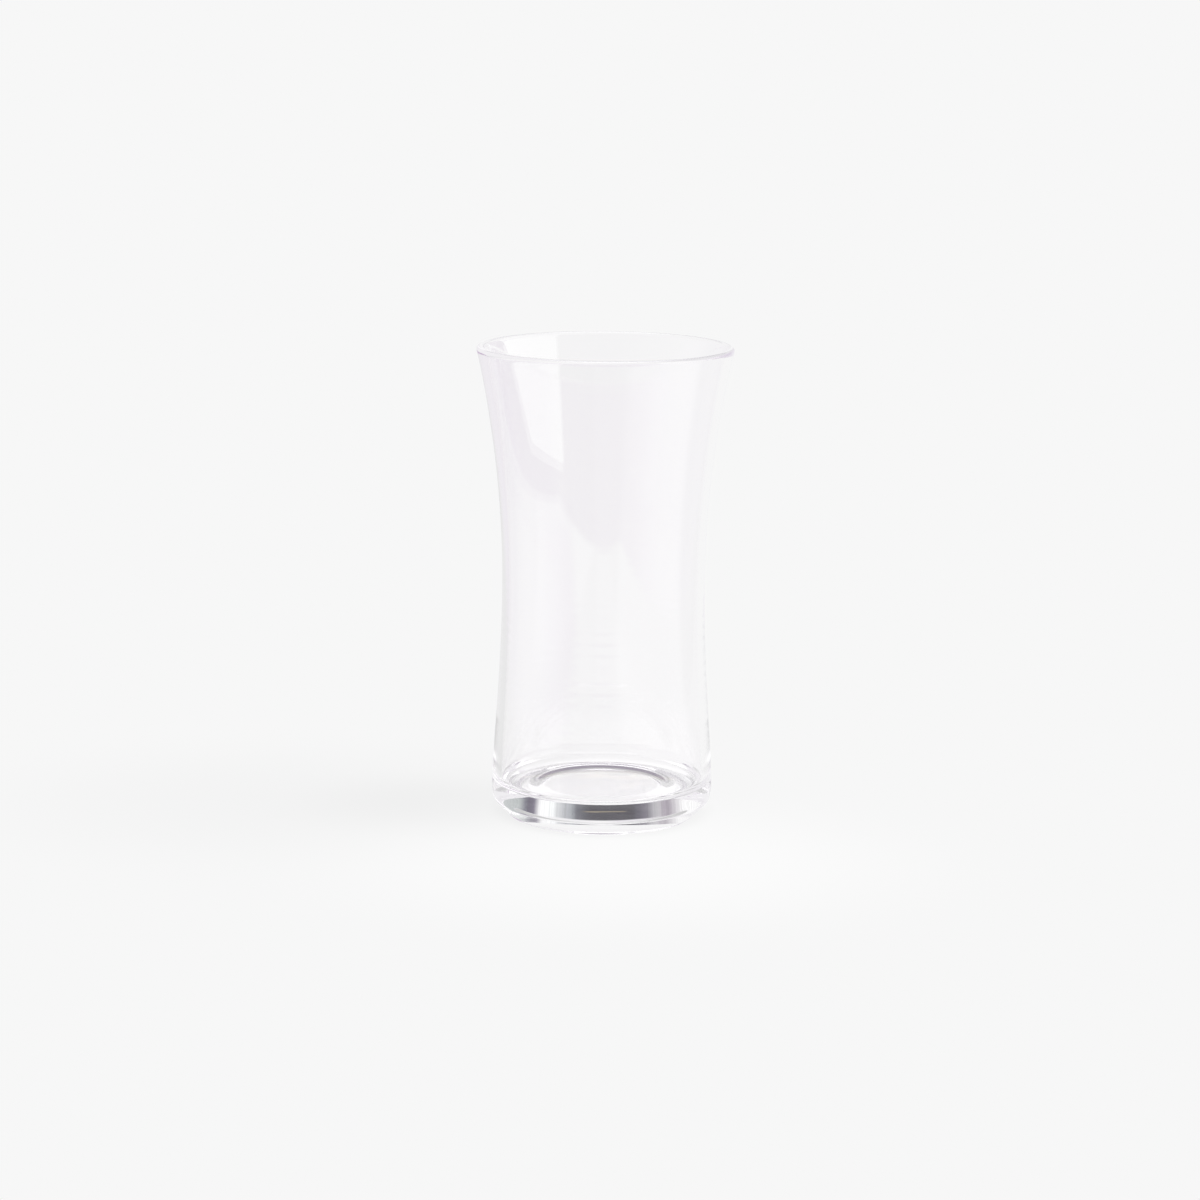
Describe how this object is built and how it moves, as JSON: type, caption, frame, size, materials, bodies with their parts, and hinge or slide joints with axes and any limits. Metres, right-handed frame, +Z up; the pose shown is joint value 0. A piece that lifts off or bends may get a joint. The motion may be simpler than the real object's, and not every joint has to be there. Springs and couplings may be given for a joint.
{
  "type": "sake glass",
  "caption": "Clear drinking glass for sake: a thin-walled tumbler with a flared rounded lip, a drawn-in waist and a thick flat base with a sloping heel.",
  "frame": {"origin": "centre of the ring that the glass stands on", "axes": "+Z up along the axis of the glass; the glass is round, so X and Y are free"},
  "size_m": [0.0592, 0.0592, 0.11],
  "materials": {
    "clear_glass": "clear colourless glass, fire-polished and glossy, with faint rings round the wall from blowing"
  },
  "bodies": {
    "root": {"bowl": "clear_glass", "base": "clear_glass"}
  },
  "joints": []
}
